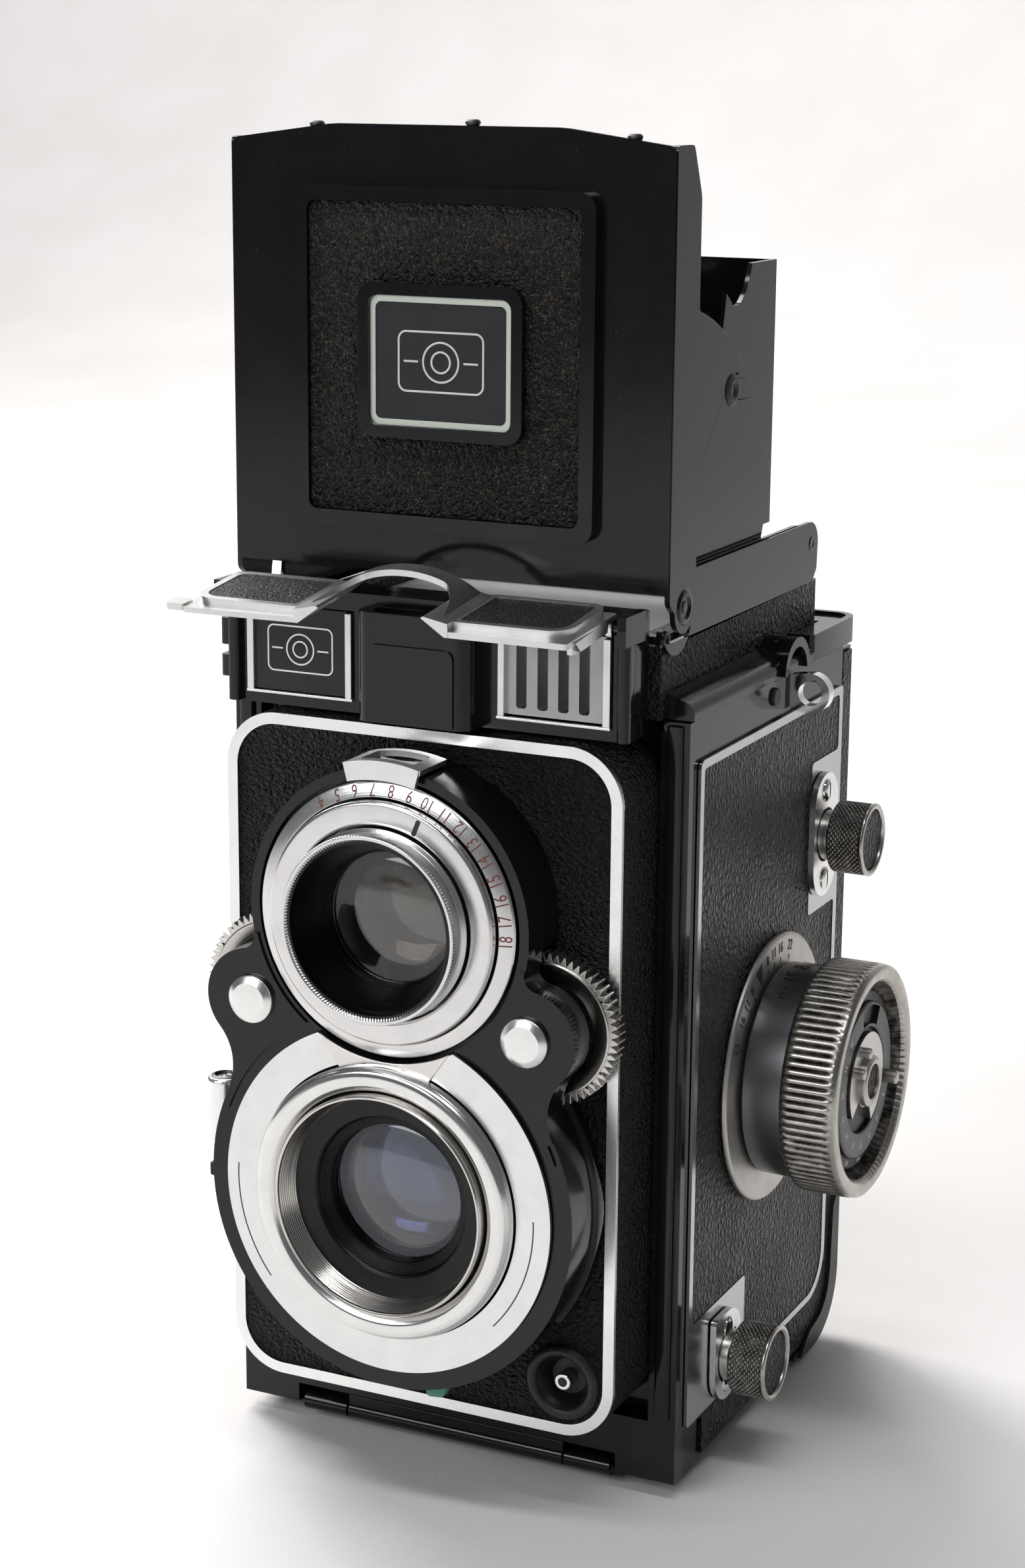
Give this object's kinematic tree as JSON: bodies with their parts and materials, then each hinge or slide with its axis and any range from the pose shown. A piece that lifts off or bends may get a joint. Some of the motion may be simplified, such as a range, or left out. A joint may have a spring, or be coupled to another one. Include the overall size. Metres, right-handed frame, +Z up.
{
  "type": "twin lens reflex camera",
  "caption": "Box-shaped roll film camera with a viewing lens over a taking lens, folding viewing hood, light meter, side knobs and a hinged back.",
  "frame": {"origin": "under the camera on the plane that its feet stand on, at the middle of its box in x and y", "axes": "+Z up, the lenses face -Y, +X is the side of the focus knob"},
  "size_m": [0.1157, 0.1055, 0.2151],
  "materials": {
    "enamel": "semi-gloss black enamel over a light alloy pressing or casting",
    "plastic": "matt black",
    "leather": "light alloy covered in fine-grained black leather",
    "satin_chrome": "satin silver, brushed on the rings",
    "worn_nickel": "worn nickel plate, knurled or ribbed on the grips",
    "lens_glass": "coated and polished",
    "screen_glass": "finely ground",
    "mirror_silver": "front-silvered",
    "lever_paint": "green and white painted tips"
  },
  "bodies": {
    "camera_body": {"body_shell": "enamel", "top_cover": "enamel", "side_trim_right": "satin_chrome", "side_trim_left": "satin_chrome", "strap_lug_right": "satin_chrome", "strap_lug_left": "satin_chrome", "film_gate": "enamel", "mirror_box": "enamel", "reflex_mirror": "mirror_silver", "ground_glass": "screen_glass", "finder_housing": "leather", "hood_base": "enamel", "meter_housing": "enamel", "meter_window": "satin_chrome", "name_plate": "enamel", "focus_shroud": "enamel", "focus_scale_disc": "worn_nickel", "takeup_plate": "satin_chrome", "supply_plate": "satin_chrome", "hinge_barrel": "enamel"},
    "front_standard": {"lens_board": "leather", "board_trim": "satin_chrome", "lens_shell": "enamel", "view_tube": "satin_chrome", "view_glass": "lens_glass", "mask_ring": "satin_chrome", "take_tube": "satin_chrome", "take_glass": "lens_glass", "shutter_case": "enamel", "flash_socket": "enamel", "value_window": "satin_chrome", "release_bracket": "enamel"},
    "light_value_ring": {"light_value_ring": "satin_chrome"},
    "speed_wheel": {"speed_wheel": "worn_nickel"},
    "aperture_wheel": {"aperture_wheel": "worn_nickel"},
    "sync_lever": {"sync_lever": "lever_paint"},
    "release_button": {"release_button": "satin_chrome"},
    "focus_knob": {"focus_knob": "worn_nickel"},
    "film_dial": {"film_dial": "enamel"},
    "takeup_collar": {"takeup_collar": "worn_nickel"},
    "takeup_knob": {"takeup_knob": "worn_nickel"},
    "supply_collar": {"supply_collar": "worn_nickel"},
    "supply_knob": {"supply_knob": "worn_nickel"},
    "film_advance": {"advance_knob": "worn_nickel", "takeup_spool": "plastic"},
    "supply_spool": {"supply_spool": "plastic"},
    "back_door": {"back_door": "leather", "pressure_plate": "worn_nickel", "tripod_bush": "worn_nickel", "corner_guard_right": "enamel", "corner_guard_left": "enamel"},
    "back_latch": {"back_latch": "worn_nickel"},
    "hood_lid": {"hood_lid": "enamel", "emblem_frame": "enamel", "sector_right": "enamel", "sector_left": "enamel"},
    "hood_rear": {"hood_rear": "enamel"},
    "magnifier": {"magnifier_frame": "enamel", "magnifier_lens": "lens_glass"},
    "meter_flap": {"meter_flap": "satin_chrome"}
  },
  "joints": [
    {"name": "focus_turn", "type": "hinge", "parent": "camera_body", "child": "focus_knob", "pos_m": [0.04, 0.013, 0.0622], "axis": [1, 0, 0], "range_deg": [0, 270]},
    {"name": "focus_slide", "type": "slide", "parent": "camera_body", "child": "front_standard", "axis": [0, -1, 0], "range_m": [0, 0.006]},
    {"name": "film_dial_turn", "type": "hinge", "parent": "focus_knob", "child": "film_dial", "pos_m": [0.055, 0.013, 0.0622], "axis": [1, 0, 0], "range_deg": [0, 180]},
    {"name": "light_value_turn", "type": "hinge", "parent": "front_standard", "child": "light_value_ring", "pos_m": [0, -0.0455, 0.0972], "axis": [0, -1, 0], "range_deg": [-90, 0]},
    {"name": "speed_turn", "type": "hinge", "parent": "front_standard", "child": "speed_wheel", "pos_m": [0.0234, -0.0382, 0.0816], "axis": [0, -1, 0], "range_deg": [0, 150]},
    {"name": "aperture_turn", "type": "hinge", "parent": "front_standard", "child": "aperture_wheel", "pos_m": [-0.0234, -0.0382, 0.0816], "axis": [0, -1, 0], "range_deg": [0, 120]},
    {"name": "sync_turn", "type": "hinge", "parent": "front_standard", "child": "sync_lever", "pos_m": [0, -0.0379, 0.0525], "axis": [0, 1, 0], "range_deg": [0, 25]},
    {"name": "release_press", "type": "slide", "parent": "front_standard", "child": "release_button", "axis": [0, 0, -1], "range_m": [0, 0.003], "stiffness_N_per_m": 200, "springref_m": -0.001},
    {"name": "takeup_pull", "type": "slide", "parent": "camera_body", "child": "takeup_collar", "axis": [1, 0, 0], "range_m": [0, 0.006]},
    {"name": "takeup_turn", "type": "hinge", "parent": "takeup_collar", "child": "takeup_knob", "pos_m": [0.045, 0.0332, 0.0969], "axis": [1, 0, 0], "continuous": true},
    {"name": "supply_pull", "type": "slide", "parent": "camera_body", "child": "supply_collar", "axis": [1, 0, 0], "range_m": [0, 0.006]},
    {"name": "supply_turn", "type": "hinge", "parent": "supply_collar", "child": "supply_knob", "pos_m": [0.045, -0.0059, 0.0188], "axis": [1, 0, 0], "continuous": true},
    {"name": "advance_turn", "type": "hinge", "parent": "camera_body", "child": "film_advance", "pos_m": [-0.045, 0.0332, 0.0969], "axis": [1, 0, 0], "continuous": true},
    {"name": "supply_spool_turn", "type": "hinge", "parent": "camera_body", "child": "supply_spool", "pos_m": [0, -0.0059, 0.0188], "axis": [1, 0, 0], "continuous": true},
    {"name": "door_open", "type": "hinge", "parent": "camera_body", "child": "back_door", "pos_m": [0, -0.022, 0.0031], "axis": [-1, 0, 0], "range_deg": [0, 95]},
    {"name": "latch_slide", "type": "slide", "parent": "back_door", "child": "back_latch", "axis": [0, 0, 1], "range_m": [0, 0.003]},
    {"name": "lid_close", "type": "hinge", "parent": "camera_body", "child": "hood_lid", "pos_m": [0, -0.0205, 0.144], "axis": [-1, 0, 0], "range_deg": [0, 90]},
    {"name": "rear_fold", "type": "hinge", "parent": "hood_lid", "child": "hood_rear", "pos_m": [0, 0.0035, 0.1737], "axis": [1, 0, 0], "range_deg": [0, 180]},
    {"name": "magnifier_swing", "type": "hinge", "parent": "hood_lid", "child": "magnifier", "pos_m": [0, -0.0229, 0.2076], "axis": [-1, 0, 0], "range_deg": [-90, 0]},
    {"name": "flap_close", "type": "hinge", "parent": "camera_body", "child": "meter_flap", "pos_m": [0, -0.0359, 0.1429], "axis": [1, 0, 0], "range_deg": [0, 83]}
  ],
  "couplings": [
    {"joint": "focus_turn", "follows": "focus_slide", "rad_per_m": 785.4},
    {"joint": "light_value_turn", "follows": "speed_turn", "ratio": -0.6},
    {"joint": "rear_fold", "follows": "lid_close", "ratio": 2}
  ]
}
